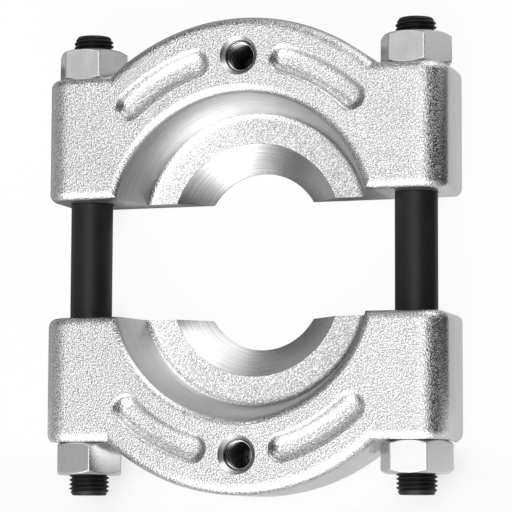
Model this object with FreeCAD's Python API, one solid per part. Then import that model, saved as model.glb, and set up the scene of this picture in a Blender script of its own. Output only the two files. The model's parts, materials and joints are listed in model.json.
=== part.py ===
import FreeCAD, Part
import math
import os

# Bearing separator: two identical forged jaws on two parallel studs, with a nut outside each lug.
# It lies on its flat back, the knife-edge side, with the recesses up.
# Z is up, Y runs along the studs, X from the left stud to the right one. Millimetres.

# Assembly
parting_gap = 40.6            # open distance between the parting faces of the two jaws
closed_gap = 0.6              # what is left of it when both pairs of nuts are run in all the way

# Jaw outline
jaw_thickness = 29.5
stud_inner_wall = 6.105       # between the recess's mouth and a stud's hole, at the parting face
stud_outer_wall = 5.2         # between a stud's hole and the lug's outer side
lug_length = 43.3             # from the parting face to a lug's nut end, along the stud
rim_radius = 71.8
arc_centre_drop = 10.5        # the arcs' common centre lies this far beyond the parting face
rim_front_round = 4.0
rim_back_round = 1.2
lug_side_front_round = 9.0    # along a lug's outer side, in front
lug_side_back_round = 2.8     # and at the back
lug_corner_round = 3.0        # up the lug's outer corners, where that side meets its ends
parting_front_round = 3.2     # along the front edge of the parting face
parting_back_round = 0.8      # along its back edge
lug_end_round = 3.5

# Recess and knife edge, as radii about the arcs' centre
recess_mouth_radius = 46.3    # where the recess wall would meet the front face
recess_foot_radius = 40.8
bevel_outer_radius = 30.8
knife_radius = 21.1
knife_land = 0.6              # height of the thin land under the knife edge
shelf_height = 9.8            # of the recess floor above the back
recess_lip_round = 3.6
recess_foot_round = 2.5

# Pockets forged into the front face, beside the tapped hole and on the same pitch radius
pitch_inset = 0.85            # how far that radius lies inside the middle of the ring's front
pocket_width = 7.6            # at half the depth
pocket_depth = 3.0
pocket_wall_lean = 26.0       # of the walls, from upright
pocket_near_angle = 15.8      # from the jaw's middle line to the centre of the pocket's near end
pocket_far_angle = 43.2       # and of its far end
pocket_edge_round = 1.8
pocket_floor_round = 3.4

# Tapped hole, open at its full thread diameter and countersunk from both faces
tapping_diameter = 11.1
tapping_mouth_diameter = 13.4
tapping_countersink_angle = 82.0

# Studs, held in the lugs at half the jaw's thickness
thread_diameter = 13.9
shank_step = 0.35             # how far the plain shank stands out beyond the threads
thread_reach_spare = 0.5      # thread left beyond the nut's travel
thread_end_chamfer = 1.2
upper_stud_end = 5.6          # how far a stud stands out of its upper nut
lower_stud_end = 7.0
stud_hole_clearance = 0.3     # round the shank
stud_hole_chamfer = 0.8
chamfer_angle = 90.0          # of the chamfers in the stud holes and nuts, from side to side
spotface_radius = 16.0
spotface_depth = 0.5

# Nuts
nut_across_flats = 22.0
nut_height = 11.2
nut_chamfer_angle = 30.0
nut_face_ratio = 0.95         # the bearing circle as a share of the width across the flats
nut_thread_clearance = 0.05
nut_countersink = 0.7
nut_corner_round = 0.25
nut_turns = {"upper_left_nut": 0.0, "upper_right_nut": -3.0, "lower_left_nut": -9.0, "lower_right_nut": -1.0}

# Sizes that follow from the ones above
half_gap = parting_gap / 2
closing_travel = (parting_gap - closed_gap) / 2
shank_radius = thread_diameter / 2 + shank_step
stud_hole_radius = shank_radius + stud_hole_clearance
stud_x = math.sqrt(recess_mouth_radius ** 2 - arc_centre_drop ** 2) + stud_inner_wall + stud_hole_radius
stud_z = jaw_thickness / 2
jaw_half_width = stud_x + stud_hole_radius + stud_outer_wall
rim_end_x = math.sqrt(rim_radius ** 2 - (lug_length + arc_centre_drop) ** 2)      # at a lug's nut end
lug_middle_x = (rim_end_x + jaw_half_width) / 2
pitch_radius = (recess_mouth_radius + rim_radius) / 2 - pitch_inset
nut_seat = half_gap + lug_length - spotface_depth
thread_start = nut_seat - closing_travel - thread_reach_spare
arc_centre = half_gap - arc_centre_drop
overrun = 1.0                 # how far a cutting body runs past the face it opens
lip_sink = 0.05               # keeps the lip's arc from only grazing the front face
on_face = 1e-3                # how near an edge lies to the face that it is picked by

X_AXIS = FreeCAD.Vector(1, 0, 0)
Y_AXIS = FreeCAD.Vector(0, 1, 0)
Z_AXIS = FreeCAD.Vector(0, 0, 1)
ORIGIN = FreeCAD.Vector(0, 0, 0)


def vector(x, y, z):
    return FreeCAD.Vector(x, y, z)


def rounded_wire(corners):
    """A closed wire through (point, radius) corners: straight sides, with an arc at each corner that has one."""
    starts = []
    ends = []
    middles = []
    count = len(corners)
    for i, (point, radius) in enumerate(corners):
        before = (corners[i - 1][0] - point).normalize()
        after = (corners[(i + 1) % count][0] - point).normalize()
        half_angle = before.getAngle(after) / 2
        reach = radius / math.tan(half_angle) if radius else 0.0
        starts.append(point + before * reach)
        ends.append(point + after * reach)
        if radius:
            inward = (before + after).normalize()
            middles.append(point + inward * (radius / math.sin(half_angle) - radius))
        else:
            middles.append(None)
    edges = []
    for i in range(count):
        if middles[i]:
            edges.append(Part.Arc(starts[i], middles[i], ends[i]).toShape())
        following = starts[(i + 1) % count]
        if (following - ends[i]).Length > on_face:
            edges.append(Part.makeLine(ends[i], following))
    return Part.Wire(edges)


def filleted(shape, radius_of_edge):
    """Rounds the edges to which radius_of_edge gives a radius, all in one go so that their corners blend."""
    document = FreeCAD.newDocument("rounding")
    base = document.addObject("Part::Feature", "base")
    base.Shape = shape
    rounds = []
    for number, edge in enumerate(shape.Edges, 1):
        radius = radius_of_edge(edge)
        if radius:
            rounds.append((number, radius, radius))
    feature = document.addObject("Part::Fillet", "rounded")
    feature.Base = base
    feature.Edges = rounds
    document.recompute()
    result = feature.Shape.copy()
    FreeCAD.closeDocument(document.Name)
    return result


def along(edge, axis):
    """Whether a straight edge runs along the axis."""
    is_line = isinstance(edge.Curve, (Part.Line, Part.LineSegment))
    return is_line and edge.tangentAt(edge.FirstParameter).cross(axis).Length < on_face


def parting_radius(z):
    """The rounding along the parting face's edge at height z: soft in front, nearly sharp at the back."""
    return parting_front_round if z > stud_z else parting_back_round


def lug_block():
    """The right lug of the upper jaw as a forged block, its parting face at the half gap."""
    inner = rim_end_x - overrun
    width = jaw_half_width - inner
    block = Part.makeBox(width, lug_length, jaw_thickness, vector(inner, half_gap, 0))
    outer_x = jaw_half_width - overrun
    middle_y = half_gap + lug_length / 2

    def radius_of_edge(edge):
        centre = edge.CenterOfMass
        if along(edge, X_AXIS):
            return lug_end_round if centre.y > middle_y else parting_radius(centre.z)
        if centre.x < outer_x:
            return None
        if along(edge, Z_AXIS):
            return lug_corner_round
        return lug_side_front_round if centre.z > stud_z else lug_side_back_round

    return filleted(block, radius_of_edge)


def half_ring():
    """The ring part of the jaw, running into both lugs as far as their middle, with its long edges rounded."""
    centre = vector(0, arc_centre, 0)
    disc = Part.makeCylinder(rim_radius, jaw_thickness, centre, Z_AXIS)
    keep = Part.makeBox(2 * lug_middle_x, rim_radius, jaw_thickness, vector(-lug_middle_x, half_gap, 0))
    ring = disc.common(keep)
    rim_y = half_gap + overrun

    def radius_of_edge(edge):
        middle = edge.CenterOfMass
        if along(edge, X_AXIS) and middle.y < rim_y:
            return parting_radius(middle.z)
        if along(edge, Y_AXIS) or along(edge, Z_AXIS):
            return None
        return rim_front_round if middle.z > stud_z else rim_back_round

    return filleted(ring, radius_of_edge)


def recess_tool():
    """What is turned out of the jaw: the recess with its lip, the shelf, the bevel and the bore."""
    top = jaw_thickness + overrun
    wall_lean = (recess_mouth_radius - recess_foot_radius) / (jaw_thickness - shelf_height)
    lip_reach = recess_lip_round + overrun
    lip_z = jaw_thickness + lip_sink
    corners = [
        (vector(0, 0, -overrun), 0),
        (vector(knife_radius, 0, -overrun), 0),
        (vector(knife_radius, 0, knife_land), 0),
        (vector(bevel_outer_radius, 0, shelf_height), 0),
        (vector(recess_foot_radius, 0, shelf_height), recess_foot_round),
        (vector(recess_mouth_radius + wall_lean * lip_sink, 0, lip_z), recess_lip_round),
        (vector(recess_mouth_radius + lip_reach, 0, lip_z), 0),
        (vector(recess_mouth_radius + lip_reach, 0, top), 0),
        (vector(0, 0, top), 0),
    ]
    tool = Part.Face(rounded_wire(corners)).revolve(ORIGIN, Z_AXIS, 360)
    tool.translate(vector(0, arc_centre, 0))
    return tool


def pocket_half_section():
    """Half the section of a pocket's cutting body, from its middle outward: floor, leaning wall, rounded lip."""
    lean = math.tan(math.radians(pocket_wall_lean))
    half_floor = pocket_width / 2 - pocket_depth / 2 * lean
    half_mouth = pocket_width / 2 + (pocket_depth / 2 + lip_sink) * lean
    reach = half_mouth + pocket_edge_round + overrun
    lip_z = jaw_thickness + lip_sink
    top = jaw_thickness + overrun
    corners = [
        (vector(0, 0, jaw_thickness - pocket_depth), 0),
        (vector(half_floor, 0, jaw_thickness - pocket_depth), pocket_floor_round),
        (vector(half_mouth, 0, lip_z), pocket_edge_round),
        (vector(reach, 0, lip_z), 0),
        (vector(reach, 0, top), 0),
        (vector(0, 0, top), 0),
    ]
    return Part.Face(rounded_wire(corners))


def pocket_tool():
    """The right pocket's cutting body: its section swept about the arcs' centre, with half a turn at each end."""
    pitch = vector(pitch_radius, 0, 0)
    sweep = pocket_near_angle - pocket_far_angle
    outer_half = pocket_half_section()
    outer_half.translate(pitch)
    inner_half = outer_half.copy()
    inner_half.rotate(pitch, Z_AXIS, 180)
    near_end = outer_half.revolve(pitch, Z_AXIS, 180)
    far_end = outer_half.revolve(pitch, Z_AXIS, -180)
    far_end.rotate(ORIGIN, Z_AXIS, sweep)
    outer_side = outer_half.revolve(ORIGIN, Z_AXIS, sweep)
    inner_side = inner_half.revolve(ORIGIN, Z_AXIS, sweep)
    tool = outer_side.fuse([inner_side, near_end, far_end]).removeSplitter()
    tool.rotate(ORIGIN, Z_AXIS, 90 - pocket_near_angle)
    tool.translate(vector(0, arc_centre, 0))
    return tool


def chamfered_hole(radius, mouth_radius, mouth_angle, length, base, direction):
    """A round hole's cutting body, starting at base, that opens out in a cone at both mouths."""
    lean = math.tan(math.radians(mouth_angle / 2))
    depth = (mouth_radius - radius) / lean
    wide = mouth_radius + overrun * lean
    corners = [
        (vector(0, 0, -overrun), 0),
        (vector(wide, 0, -overrun), 0),
        (vector(radius, 0, depth), 0),
        (vector(radius, 0, length - depth), 0),
        (vector(wide, 0, length + overrun), 0),
        (vector(0, 0, length + overrun), 0),
    ]
    tool = Part.Face(rounded_wire(corners)).revolve(ORIGIN, Z_AXIS, 360)
    tool.Placement = FreeCAD.Placement(base, FreeCAD.Rotation(Z_AXIS, direction))
    return tool


def make_jaw():
    """The upper jaw. The lower one is the same forging, turned half a turn about Z."""
    right_lug = lug_block()
    left_lug = right_lug.mirror(ORIGIN, X_AXIS)
    jaw = half_ring().fuse([right_lug, left_lug]).removeSplitter()
    right_pocket = pocket_tool()
    jaw = jaw.cut([recess_tool(), right_pocket, right_pocket.mirror(ORIGIN, X_AXIS)])
    for side in (-1, 1):
        axis_x = side * stud_x
        spotface = Part.makeCylinder(spotface_radius, rim_radius, vector(axis_x, nut_seat, stud_z), Y_AXIS)
        hole = chamfered_hole(stud_hole_radius, stud_hole_radius + stud_hole_chamfer, chamfer_angle,
                              lug_length - spotface_depth, vector(axis_x, half_gap, stud_z), Y_AXIS)
        jaw = jaw.cut([spotface, hole])
    tapping = chamfered_hole(tapping_diameter / 2, tapping_mouth_diameter / 2, tapping_countersink_angle,
                             jaw_thickness, vector(0, arc_centre + pitch_radius, 0), Z_AXIS)
    return jaw.cut(tapping)


def make_stud():
    """A stud along +Y from its lower end: thread, plain shank, thread, both ends chamfered."""
    low = -(nut_seat + nut_height + lower_stud_end)
    high = nut_seat + nut_height + upper_stud_end
    thread_radius = thread_diameter / 2
    corners = [
        (vector(0, low, 0), 0),
        (vector(thread_radius - thread_end_chamfer, low, 0), 0),
        (vector(thread_radius, low + thread_end_chamfer, 0), 0),
        (vector(thread_radius, -thread_start, 0), 0),
        (vector(shank_radius, -thread_start + shank_step, 0), 0),
        (vector(shank_radius, thread_start - shank_step, 0), 0),
        (vector(thread_radius, thread_start, 0), 0),
        (vector(thread_radius, high - thread_end_chamfer, 0), 0),
        (vector(thread_radius - thread_end_chamfer, high, 0), 0),
        (vector(0, high, 0), 0),
    ]
    stud = Part.Face(rounded_wire(corners)).revolve(ORIGIN, Y_AXIS, 360)
    stud.translate(vector(0, 0, stud_z))
    return stud


def make_nut(turn):
    """A hex nut round the Z axis, chamfered on both faces, with a corner towards +X before it is turned."""
    corner_radius = nut_across_flats / 2 / math.cos(math.radians(30))
    corners = []
    for i in range(6):
        angle = math.radians(60 * i + turn)
        corners.append((vector(corner_radius * math.cos(angle), corner_radius * math.sin(angle), 0),
                        nut_corner_round))
    prism = Part.Face(rounded_wire(corners)).extrude(vector(0, 0, nut_height))
    face_radius = nut_across_flats / 2 * nut_face_ratio
    fall = (corner_radius - face_radius + overrun) * math.tan(math.radians(nut_chamfer_angle))
    limits = [
        (vector(0, 0, 0), 0),
        (vector(face_radius, 0, 0), 0),
        (vector(corner_radius + overrun, 0, fall), 0),
        (vector(corner_radius + overrun, 0, nut_height - fall), 0),
        (vector(face_radius, 0, nut_height), 0),
        (vector(0, 0, nut_height), 0),
    ]
    nut = prism.common(Part.Face(rounded_wire(limits)).revolve(ORIGIN, Z_AXIS, 360))
    bore_radius = thread_diameter / 2 + nut_thread_clearance
    bore = chamfered_hole(bore_radius, bore_radius + nut_countersink, chamfer_angle, nut_height, ORIGIN, Z_AXIS)
    return nut.cut(bore)


def place_nut(name):
    """Seats a nut on its lug. Its turn is how far the flat that faces up leans towards +X, in degrees."""
    side = 1 if "right" in name else -1
    upward = 1 if "upper" in name else -1
    nut = make_nut(nut_turns[name] * upward)
    nut.rotate(ORIGIN, X_AXIS, -90 * upward)
    nut.translate(vector(side * stud_x, upward * nut_seat, stud_z))
    return nut


def export(name, shape):
    shape.exportStep(os.path.join("parts", name + ".step"))
    box = shape.BoundBox
    print(f"{name}: valid {shape.isValid()}, solids {len(shape.Solids)}, volume {shape.Volume:.1f}, "
          f"X {box.XMin:.2f} to {box.XMax:.2f}, Y {box.YMin:.2f} to {box.YMax:.2f}, "
          f"Z {box.ZMin:.2f} to {box.ZMax:.2f}")


os.makedirs("parts", exist_ok=True)

upper_jaw = make_jaw()
lower_jaw = upper_jaw.copy()
lower_jaw.rotate(ORIGIN, Z_AXIS, 180)
export("upper_jaw", upper_jaw)
export("lower_jaw", lower_jaw)

stud = make_stud()
for name, side in (("left_stud", -1), ("right_stud", 1)):
    placed = stud.copy()
    placed.translate(vector(side * stud_x, 0, 0))
    export(name, placed)

for name in nut_turns:
    export(name, place_nut(name))
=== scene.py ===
# Bearing separator, lying on its flat back: two forged jaws on two black studs, with four plated nuts.
# Metres. The studs run along Y, X goes from the left stud to the right one, and Z is up.
import json
import math

import bmesh
import bpy
from mathutils import Matrix, Vector


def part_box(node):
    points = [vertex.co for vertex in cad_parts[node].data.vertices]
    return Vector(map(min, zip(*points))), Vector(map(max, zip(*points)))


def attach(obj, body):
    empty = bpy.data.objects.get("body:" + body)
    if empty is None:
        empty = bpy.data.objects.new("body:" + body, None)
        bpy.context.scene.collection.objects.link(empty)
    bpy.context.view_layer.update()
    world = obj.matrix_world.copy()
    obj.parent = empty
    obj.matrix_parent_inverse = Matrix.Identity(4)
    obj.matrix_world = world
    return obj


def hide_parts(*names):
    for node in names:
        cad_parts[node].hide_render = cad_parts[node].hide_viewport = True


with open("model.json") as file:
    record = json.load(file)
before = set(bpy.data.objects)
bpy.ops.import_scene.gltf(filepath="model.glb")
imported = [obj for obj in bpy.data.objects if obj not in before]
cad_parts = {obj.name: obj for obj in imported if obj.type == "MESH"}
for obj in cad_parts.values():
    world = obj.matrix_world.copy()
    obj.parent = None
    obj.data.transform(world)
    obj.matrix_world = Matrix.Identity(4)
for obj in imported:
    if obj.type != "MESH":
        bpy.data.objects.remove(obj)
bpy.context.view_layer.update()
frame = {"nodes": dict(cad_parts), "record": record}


# Jaws
# Each jaw is one steel forging, zinc plated all over. Its front and the shelf of its recess keep the coarse
# skin of the forging die. The recess's wall, the bevel and the parting face are machined before plating.
mm = 0.001
half_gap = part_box("upper_jaw")[0].y
jaw_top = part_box("upper_jaw")[1].z
arc_inset = 10.5 * mm
arc_centre = half_gap - arc_inset
bevel_radius = 30.8 * mm
bevel_blend = 0.4 * mm
lip_radius = 47.0 * mm
lip_blend = 1.5 * mm
mounts = {mount["name"]: mount for mount in frame["record"]["mounts"]}
tapped_y = mounts["upper_puller_hole"]["pos_m"][1]
tapped_mouth = 6.70 * mm


class Socket:
    """One output of a node. Arithmetic on it adds Math nodes, with numbers or sockets on either side."""

    def __init__(self, tree, output):
        self.tree = tree
        self.output = output

    def math(self, operation, *values):
        node = self.tree.nodes.new("ShaderNodeMath")
        node.operation = operation
        for slot, value in zip(node.inputs, values):
            feed(self.tree, slot, value)
        return Socket(self.tree, node.outputs[0])

    def __add__(self, other):
        return self.math("ADD", self, other)

    def __sub__(self, other):
        return self.math("SUBTRACT", self, other)

    def __mul__(self, other):
        return self.math("MULTIPLY", self, other)

    def __pow__(self, other):
        return self.math("POWER", self, other)

    def __radd__(self, other):
        return self.math("ADD", other, self)

    def __rsub__(self, other):
        return self.math("SUBTRACT", other, self)

    def __rmul__(self, other):
        return self.math("MULTIPLY", other, self)

    def __abs__(self):
        return self.math("ABSOLUTE", self)

    def either(self, other):
        """The larger of the two, which for two masks is where either of them holds."""
        return self.math("MAXIMUM", self, other)


def feed(tree, slot, value):
    """Gives an input its value, or links it where the value comes from another node."""
    if isinstance(value, Socket):
        tree.links.new(value.output, slot)
    else:
        slot.default_value = value


class Recipe:
    """The nodes of one finish, written as a list of steps."""

    def __init__(self, owner):
        owner.use_nodes = True
        self.tree = owner.node_tree
        self.tree.nodes.clear()

    def node(self, kind, settings, values, output=0):
        """Adds a node, makes its settings, gives its inputs their values and returns one of its outputs."""
        node = self.tree.nodes.new("ShaderNode" + kind)
        for name, setting in settings.items():
            setattr(node, name, setting)
        for name, value in values.items():
            feed(self.tree, node.inputs[name], value)
        return Socket(self.tree, node.outputs[output]) if node.outputs else None

    def place(self):
        """Where a point of the piece lies at rest, in metres."""
        return self.node("TexCoord", {}, {}, "Object")

    def parts(self, vector):
        """The three components of a vector."""
        split = self.node("SeparateXYZ", {}, {0: vector}).output.node
        return [Socket(self.tree, output) for output in split.outputs]

    def above(self, value, low, high):
        """Rises smoothly from 0 at the low edge to 1 at the high one."""
        return self.node("MapRange", {"interpolation_type": "SMOOTHSTEP"},
                         {"Value": value, "From Min": low, "From Max": high})

    def below(self, value, low, high):
        """Falls smoothly from 1 at the low edge to 0 at the high one."""
        return self.above(value, high, low)

    def mix(self, factor, first, second):
        """Goes from the first colour to the second."""
        return self.node("Mix", {"data_type": "RGBA"}, {0: factor, 6: first, 7: second}, 2)

    def noise(self, vector, scale, detail, roughness=0.5):
        """Soft noise from 0 to 1, with about as many features to the metre as the scale says."""
        return self.node("TexNoise", {}, {"Vector": vector, "Scale": scale, "Detail": detail,
                                          "Roughness": roughness})

    def stretched(self, vector, stretch):
        """The vector with each component scaled by itself, for a noise that runs in lines."""
        return self.node("VectorMath", {"operation": "MULTIPLY"}, {0: vector, 1: stretch})

    def bump(self, height, distance, normal=None):
        """A surface that stands up by the distance where the height is 1."""
        values = {"Height": height, "Distance": distance, "Strength": 1.0}
        if normal:
            values["Normal"] = normal
        return self.node("Bump", {}, values)

    def eased(self, radius):
        """The surface's own normal with its sharp edges eased by the radius."""
        return self.node("Bevel", {"samples": 6}, {"Radius": radius})

    def surface(self, values):
        """The finish itself, on the material's output."""
        shader = self.node("BsdfPrincipled", {}, values)
        self.node("OutputMaterial", {}, {"Surface": shader})


def grey(level):
    """A colour with no hue, from 0, black, to 1, white."""
    return (level, level, level, 1.0)


def reach(x, y):
    """How far a point lies from an axis, from its two distances across it."""
    return (x * x + y * y) ** 0.5


def coat(node, finish):
    """Gives a whole CAD piece its finish."""
    for slot in frame["nodes"][node].material_slots:
        slot.material = finish


def forged_zinc():
    """Bright zinc over the forging's coarse skin, and over fine turning lines where it was machined."""
    darkest = 0.48
    brightest = 0.98
    middle_tone = 0.35
    blotch_scale = 55
    blotch_contrast = 0.30
    skin_scale = 1800
    skin_contrast = 0.8
    skin_depth = 0.085 * mm
    line_scale = 2600
    ring_scale = 1900
    turning_contrast = 0.28
    turning_share = 0.04
    # Painted shade in the recess: darker towards its right end, and darker on its wall than on its shelf
    sideways_painted_shade = 0.35
    wall_painted_shade = 0.25

    finish = bpy.data.materials.new("forged_zinc")
    recipe = Recipe(finish)
    place = recipe.place()
    x, y = recipe.parts(place)[:2]
    up = recipe.parts(recipe.node("TexCoord", {}, {}, "Normal"))[2]

    # The coarse skin is left on the front, up to its rounded sides, and on the level shelf of the recess
    radius = reach(x, abs(y) - arc_centre)
    bevel = recipe.below(radius, bevel_radius - bevel_blend, bevel_radius)
    outside = recipe.above(radius, lip_radius, lip_radius + lip_blend)
    hole_radius = reach(x, abs(y) - tapped_y)
    countersink = recipe.below(hole_radius, tapped_mouth - 0.1 * mm, tapped_mouth + 0.2 * mm)
    front_skin = recipe.above(up, 0.02, 0.20) * outside
    shelf_skin = recipe.above(up, 0.40, 0.86) * (1 - outside)
    cast = (front_skin + shelf_skin) * (1 - bevel) * (1 - countersink)
    turned = 1 - cast

    # The turning lines run round the arc on the bevel and level everywhere else
    blotches = recipe.noise(place, blotch_scale, 2)
    skin = recipe.above(recipe.noise(place, skin_scale, 2, 0.6), 0.30, 0.70)
    lines = recipe.noise(recipe.stretched(place, (0.02, 0.02, 1.0)), line_scale, 2)
    rings = recipe.node("TexNoise", {"noise_dimensions": "1D"},
                        {"W": radius, "Scale": ring_scale, "Detail": 2})
    turning = recipe.above(lines * (1 - bevel) + rings * bevel, 0.25, 0.75)
    grain = cast * (skin - 0.5) * skin_contrast + turned * (turning - 0.5) * turning_contrast

    # Painted shade: the recess darkens from left to right, and its wall is darker than its shelf
    recess = (1 - outside) * (1 - bevel)
    painted_shade = recess * (x * (sideways_painted_shade / lip_radius) + wall_painted_shade * turned)
    tone = middle_tone + blotch_contrast * blotches + grain - painted_shade
    recipe.surface({
        "Base Color": recipe.mix(tone, grey(darkest), grey(brightest)),
        "Metallic": 1.0,
        "Roughness": 0.30 - cast * 0.16 - bevel * 0.06 + blotches * 0.05,
        "Normal": recipe.bump(cast * skin + turned * turning * turning_share, skin_depth),
    })
    return finish


jaw_finish = forged_zinc()
for name in ("upper_jaw", "lower_jaw"):
    coat(name, jaw_finish)


# Tapped holes
# Each jaw has one hole for a puller's screw at the crown of its arc. It is countersunk and tapped right
# through after forging. Its finish paints highlights on the thread's crests and shade deep in the hole.
tapped_pitch = 25.4 / 14 * mm
tapped_crest = 4.67 * mm
tapped_root = 5.50 * mm
tapped_outside = 5.60 * mm
tapped_crest_flat = 0.12
tapped_root_flat = 0.25
tapped_lean = math.tan(math.radians(41))
turn_points = 72
weld_distance = 0.002 * mm
crease = math.radians(28)


def thread_depth(crest_flat, root_flat, phase):
    """How deep the thread is at a phase of its pitch, from 0 on the crest to 1 in the root."""
    flank = (1 - crest_flat - root_flat) / 2
    away = abs(phase - round(phase))
    return min(1.0, max(0.0, (away - crest_flat / 2) / flank))


def point(mesh, radius, step, height):
    """Adds a point at one of the steps of a turn round Z."""
    angle = math.tau * step / turn_points
    return mesh.verts.new((radius * math.cos(angle), radius * math.sin(angle), height))


def spiral_strip(mesh, low, high, pitch, phases, radius_at):
    """Adds a helical surface round Z from low to high. Its radius follows from the height and the phase."""
    first = -turn_points
    last = math.ceil((high - low) / pitch) * turn_points + 1
    before = None
    for step in range(first, last):
        row = []
        for phase in phases:
            height = low + pitch * (step / turn_points + phase)
            height = min(high, max(low, height))
            row.append(point(mesh, radius_at(height, phase), step, height))
        if before:
            for i in range(len(phases) - 1):
                mesh.faces.new((before[i], row[i], row[i + 1], before[i + 1]))
        before = row


def ring(mesh, radius, height):
    """Adds a ring of points round Z, at the same angles as a thread's own."""
    return [point(mesh, radius, step, height) for step in range(turn_points)]


def bridge(mesh, first, second):
    """Joins two rings with faces."""
    for i in range(turn_points):
        j = (i + 1) % turn_points
        mesh.faces.new((first[i], first[j], second[j], second[i]))


def in_scene(name, data):
    """Makes an object of the data and puts it in the scene."""
    thing = bpy.data.objects.new(name, data)
    bpy.context.scene.collection.objects.link(thing)
    return thing


def finished_piece(name, mesh, turn, place, finish):
    """Welds what was built, turns and places it, and makes it a smooth object with sharp creases."""
    bmesh.ops.remove_doubles(mesh, verts=mesh.verts, dist=weld_distance)
    bmesh.ops.dissolve_degenerate(mesh, edges=mesh.edges, dist=weld_distance)
    bmesh.ops.recalc_face_normals(mesh, faces=mesh.faces)
    bmesh.ops.transform(mesh, matrix=Matrix.Translation(place) @ turn, verts=mesh.verts)
    data = bpy.data.meshes.new(name)
    mesh.to_mesh(data)
    mesh.free()
    data.polygons.foreach_set("use_smooth", [True] * len(data.polygons))
    data.set_sharp_from_angle(angle=crease)
    data.materials.append(finish)
    return in_scene(name, data)


def tapped_thread(name, y, finish):
    """The thread in one hole, a sleeve that ends along the countersinks."""
    inset = (tapped_mouth - tapped_outside) / tapped_lean
    low = inset
    high = jaw_top - inset
    phases = [0, 0.06, 0.2, 0.35, 0.5, 0.65, 0.8, 0.94, 1]

    def radius_at(height, phase):
        depth = thread_depth(tapped_crest_flat, tapped_root_flat, phase)
        cut = tapped_crest + (tapped_root - tapped_crest) * depth
        end = min(height, jaw_top - height)
        return min(tapped_outside, max(cut, tapped_mouth - end * tapped_lean))

    mesh = bmesh.new()
    spiral_strip(mesh, low, high, tapped_pitch, phases, radius_at)
    bridge(mesh, ring(mesh, tapped_outside, low), ring(mesh, tapped_outside, high))
    return finished_piece(name, mesh, Matrix.Identity(4), Vector((0, y, 0)), finish)


def painted_thread_zinc():
    """Zinc painted with highlights at the mouth and on the crests, fading into painted shade down the hole.
    """
    darkest = 0.06
    brightest = 0.92
    scratch_scale = 900
    scratch_depth = 0.012 * mm

    finish = bpy.data.materials.new("thread_painted_light")
    recipe = Recipe(finish)
    place = recipe.place()
    x, y, z = recipe.parts(place)
    radius = reach(x, abs(y) - tapped_y)
    depth = jaw_top / 2 - abs(z - jaw_top / 2)
    scratches = recipe.noise(recipe.stretched(place, (1.0, 1.0, 6.0)), scratch_scale, 2)
    # Painted highlights on the crests and at the mouth, fading into painted shade deeper in the hole
    crests = recipe.below(radius, tapped_crest + 0.05 * mm, tapped_crest + 0.30 * mm)
    mouth = recipe.below(depth, 1.4 * mm, 1.9 * mm)
    painted_depth_light = recipe.below(depth, 3 * mm, 10 * mm)
    painted_light = recipe.node("Clamp", {}, {0: (crests * painted_depth_light + mouth) * (0.9 + scratches * 0.2)})
    recipe.surface({
        "Base Color": recipe.mix(painted_light, grey(darkest), grey(brightest)),
        "Metallic": 1.0,
        "Roughness": 0.22 + scratches * 0.12,
        "Normal": recipe.bump(scratches, scratch_depth),
    })
    return finish


painted_thread_finish = painted_thread_zinc()
for name, body, side in (("upper_tapped_thread", "upper_jaw", 1), ("lower_tapped_thread", "lower_jaw", -1)):
    thread = tapped_thread(name, side * tapped_y, painted_thread_finish)
    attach(thread, body)


# Studs
# Two steel studs with a plain shank through both lugs and a rolled M14 thread at each end. Black oxide and a
# trace of oil leave them nearly black, with a dull shine.
stud_pitch = 1.5 * mm
stud_crest = 6.95 * mm
stud_root = 6.03 * mm
stud_crest_flat = 0.14
stud_root_flat = 0.12
stud_tip = 5.75 * mm
stud_tip_taper = 0.65
shank_radius = 7.3 * mm
thread_start = 42.6 * mm
shank_end = thread_start - (shank_radius - stud_crest)
stud_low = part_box("left_stud")[0]
stud_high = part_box("left_stud")[1]
stud_x = -(stud_low.x + stud_high.x) / 2
stud_z = (stud_low.z + stud_high.z) / 2


def black_oxide():
    """Black oxide over turned steel: fine lines round the shank and a slightly cloudy shine."""
    darkest = 0.004
    brightest = 0.016
    cloud_scale = 120
    speck_scale = 1500
    line_scale = 2200
    grain_depth = 0.008 * mm

    finish = bpy.data.materials.new("black_oxide")
    recipe = Recipe(finish)
    place = recipe.place()
    clouds = recipe.noise(place, cloud_scale, 3)
    specks = recipe.noise(place, speck_scale, 2)
    lines = recipe.noise(recipe.stretched(place, (0.03, 1.0, 0.03)), line_scale, 2)
    recipe.surface({
        "Base Color": recipe.mix(clouds * 0.6 + specks * 0.4, grey(darkest), grey(brightest)),
        "Metallic": 0.0,
        "Roughness": 0.38 + clouds * 0.16,
        "Specular IOR Level": 0.35,
        "Normal": recipe.bump(lines * 0.6 + specks * 0.4, grain_depth),
    })
    return finish


def threaded_stud(name, x, finish):
    """A stud built along Z from its lower end to its upper one, then laid along Y in its lugs."""
    low = stud_low.y
    high = stud_high.y
    phases = [0, 0.07, 0.2, 0.32, 0.44, 0.56, 0.68, 0.8, 0.93, 1]

    def radius_at(height, phase):
        depth = thread_depth(stud_crest_flat, stud_root_flat, phase)
        cut = stud_crest - (stud_crest - stud_root) * depth
        cut = min(cut, stud_tip + min(height - low, high - height) * stud_tip_taper)
        return max(cut, min(shank_radius, shank_radius - abs(height) + shank_end))

    mesh = bmesh.new()
    spiral_strip(mesh, low, -shank_end, stud_pitch, phases, radius_at)
    spiral_strip(mesh, shank_end, high, stud_pitch, phases, radius_at)
    bridge(mesh, ring(mesh, shank_radius, -shank_end), ring(mesh, shank_radius, shank_end))
    for end in (low, high):
        mesh.faces.new(ring(mesh, stud_tip, end))
    turn = Matrix.Rotation(math.radians(-90), 4, "X")
    return finished_piece(name, mesh, turn, Vector((x, 0, stud_z)), finish)


stud_finish = black_oxide()
for name, side in (("left", -1), ("right", 1)):
    stud = threaded_stud(name + "_threaded_stud", side * stud_x, stud_finish)
    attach(stud, name + "_stud")
    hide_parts(name + "_stud")


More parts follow.
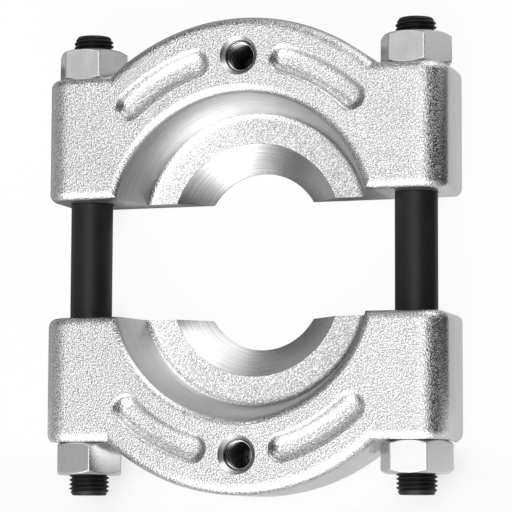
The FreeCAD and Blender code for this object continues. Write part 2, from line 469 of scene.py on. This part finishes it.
# Nuts
# Four hex nuts, cold formed, chamfered on both faces and zinc plated. Their flats are smooth, with faint
# marks along the nut's axis from forming.
def plated_nut():
    """Bright zinc on a formed nut, whose edges are eased."""
    darkest = 0.64
    brightest = 0.84
    cloud_scale = 180
    mark_scale = 1500
    mark_depth = 0.015 * mm
    edge_radius = 0.70 * mm

    finish = bpy.data.materials.new("nut_zinc")
    recipe = Recipe(finish)
    place = recipe.place()
    clouds = recipe.noise(place, cloud_scale, 3)
    marks = recipe.noise(recipe.stretched(place, (1.0, 0.12, 1.0)), mark_scale, 3)
    recipe.surface({
        "Base Color": recipe.mix(clouds * 0.6 + marks * 0.4, grey(darkest), grey(brightest)),
        "Metallic": 1.0,
        "Roughness": 0.18 + clouds * 0.10 + marks * 0.05,
        "Normal": recipe.bump(clouds * 0.7 + marks * 0.3, mark_depth, recipe.eased(edge_radius)),
    })
    return finish


nut_finish = plated_nut()
for level in ("upper", "lower"):
    for side in ("left", "right"):
        coat(level + "_" + side + "_nut", nut_finish)


# Floor
# A sheet of white paper under the part. The camera sees it white, with real shade only past the lower end and
# at the foot of the tapped holes. The metal mirrors it darker: grey cards lie beside the jaws and past their
# ends, and a patch between the jaws is left bare.
floor_reach = 4.0
floor_clearance = 0.2 * mm


def light_path(recipe, kind):
    """1 for the rays of one kind, 0 for the others."""
    return recipe.node("LightPath", {}, {}, "Is " + kind + " Ray")


def white_paper():
    """Paper that glows where it is seen or mirrored, and is plain paper to every other ray."""
    paper_grey = 0.92
    full_glow = 0.94
    shade_share = 0.45
    mirrored_light = 0.70
    left_card = 0.58
    far_left_card = 0.27
    right_card = 0.70
    end_card = 0.32

    finish = bpy.data.materials.new("white_paper")
    recipe = Recipe(finish)
    x, y = recipe.parts(recipe.place())[:2]
    seen = light_path(recipe, "Camera")
    glowing = seen.either(light_path(recipe, "Glossy")).either(light_path(recipe, "Transmission"))

    # Real shade shows through the glow past the lower end, and where almost no sky is open above the paper
    past_lower_end = recipe.below(y, -75 * mm, -60 * mm) * recipe.above(y, -130 * mm, -95 * mm)
    open_sky = recipe.node("AmbientOcclusion", {"samples": 8}, {"Distance": 60 * mm}, "AO")
    glow = glowing * (full_glow - shade_share * past_lower_end) * recipe.above(open_sky, 0.06, 0.16)

    # The cards, which only reflections see
    beside_jaws = recipe.below(abs(y - 11.5 * mm), 61 * mm, 64 * mm)
    bare = recipe.below(abs(y), 12 * mm, 20 * mm) * recipe.below(abs(x + 34 * mm), 14 * mm, 24 * mm)
    left = left_card - (left_card - far_left_card) * recipe.below(x, -100 * mm, -80 * mm)
    left = recipe.below(x, 30 * mm, 60 * mm) * left * (1 - bare)
    right = right_card * recipe.above(x, 80 * mm, 85 * mm)
    ends = end_card * recipe.above(abs(y), 64 * mm, 82 * mm) * recipe.below(x, 50 * mm, 70 * mm)
    mirrored = mirrored_light - beside_jaws * (left + right) - ends

    paper = recipe.node("BsdfDiffuse", {}, {"Color": grey(paper_grey)})
    white = recipe.node("Emission", {}, {"Color": grey(1.0), "Strength": seen + (1 - seen) * mirrored})
    shader = recipe.node("MixShader", {}, {0: glow, 1: paper, 2: white})
    recipe.node("OutputMaterial", {}, {"Surface": shader})
    return finish


floor_mesh = bmesh.new()
bmesh.ops.create_grid(floor_mesh, x_segments=1, y_segments=1, size=floor_reach)
floor_data = bpy.data.meshes.new("floor")
floor_mesh.to_mesh(floor_data)
floor_mesh.free()
floor_data.materials.append(white_paper())
floor = in_scene("floor", floor_data)
floor.location.z = -floor_clearance


# Light
# A dark tent with soft white panels on it: a large one beyond the lower jaw, low ones round the horizon and
# small ones overhead. The dark between them gives the zinc its bands. The tent is white to the camera, and
# one weak lamp from the upper left adds a soft shadow.
tent_dark = 0.01

# Each panel's strength, its direction from the part, and the angles within which it is full and past which
# it is gone
panels = (
    (2.5, (-0.07, -0.81, 0.59), 18, 43),  # the large one, beyond the lower jaw
    (0.8, (-0.12, -0.98, 0.12), 16, 34),  # under it, at the horizon
    (0.4, (0.68, -0.70, 0.22), 8, 24),    # low, past the lower right corner
    (2.2, (0.50, 0.84, 0.18), 14, 26),    # low, past the upper right corner
    (0.7, (0.19, 0.91, 0.37), 10, 36),    # beyond the upper jaw
    (0.8, (-0.20, 0.02, 0.98), 3, 20),    # overhead, to the left
    (0.7, (-0.68, -0.25, 0.69), 5, 28),   # halfway up on the left
    (0.3, (0.10, -0.48, 0.87), 5, 24),    # high, over the large one
    (0.2, (0.45, -0.60, 0.65), 5, 28),    # halfway up, right of the large one
    (0.4, (-0.97, 0.11, 0.22), 5, 30),    # low on the left
    (2.3, (0.24, 0.11, 0.96), 3, 20),     # overhead, to the right
    (1.0, (-0.05, -0.08, 0.99), 6, 26),   # straight overhead
)


def tent():
    """The world: the tent with its panels for light and reflections, and plain white for the camera."""
    world = bpy.data.worlds.new("tent")
    recipe = Recipe(world)
    direction = recipe.node("TexCoord", {}, {}, "Generated")
    light = tent_dark
    for strength, axis, full, gone in panels:
        unit = Vector(axis).normalized()
        near = recipe.node("VectorMath", {"operation": "DOT_PRODUCT"}, {0: direction, 1: unit}, "Value")
        panel = recipe.above(near, math.cos(math.radians(gone)), math.cos(math.radians(full)))
        light = light + strength * panel
    seen = light_path(recipe, "Camera")
    shade = recipe.node("Background", {}, {"Color": grey(1.0), "Strength": seen + (1 - seen) * light})
    recipe.node("OutputWorld", {}, {"Surface": shade})
    return world


bpy.context.scene.world = tent()

lamp_data = bpy.data.lights.new("key", "AREA")
lamp_data.shape = "DISK"
lamp_data.size = 0.5
lamp_data.energy = 2
lamp = in_scene("key", lamp_data)
lamp.location = (-0.55, 0.75, 1.1)
lamp.rotation_euler = Vector(lamp.location).to_track_quat("Z", "Y").to_euler()


# Camera
# It looks down on the part from 0.9 m away, a little from the right and from the lower jaw's side. Its lens
# and its shift give the photograph's frame.
image_size = 512
azimuth = math.radians(18.457)
elevation = math.radians(-6.235)
roll = math.radians(0.273)
distance = 0.9
focal_pixels = 2617.99
centre_pixel = (251.025, 257.782)
aim = Vector((0, 0, 14.5 * mm))
back = Vector((math.sin(azimuth) * math.cos(elevation), math.sin(elevation),
               math.cos(azimuth) * math.cos(elevation)))
right = Vector((0, 1, 0)).cross(back).normalized()
upward = back.cross(right)
rolled_right = right * math.cos(roll) + upward * math.sin(roll)
rolled_up = upward * math.cos(roll) - right * math.sin(roll)
camera_data = bpy.data.cameras.new("camera")
camera_data.sensor_width = 36
camera_data.lens = focal_pixels / image_size * camera_data.sensor_width
camera_data.shift_x = (image_size / 2 - centre_pixel[0]) / image_size
camera_data.shift_y = (centre_pixel[1] - image_size / 2) / image_size
camera_data.clip_start = 0.01
camera = in_scene("camera", camera_data)
facing = Matrix((rolled_right, rolled_up, back)).transposed().to_4x4()
camera.matrix_world = Matrix.Translation(aim + back * distance) @ facing
bpy.context.scene.camera = camera

bpy.context.scene.view_settings.view_transform = "Standard"
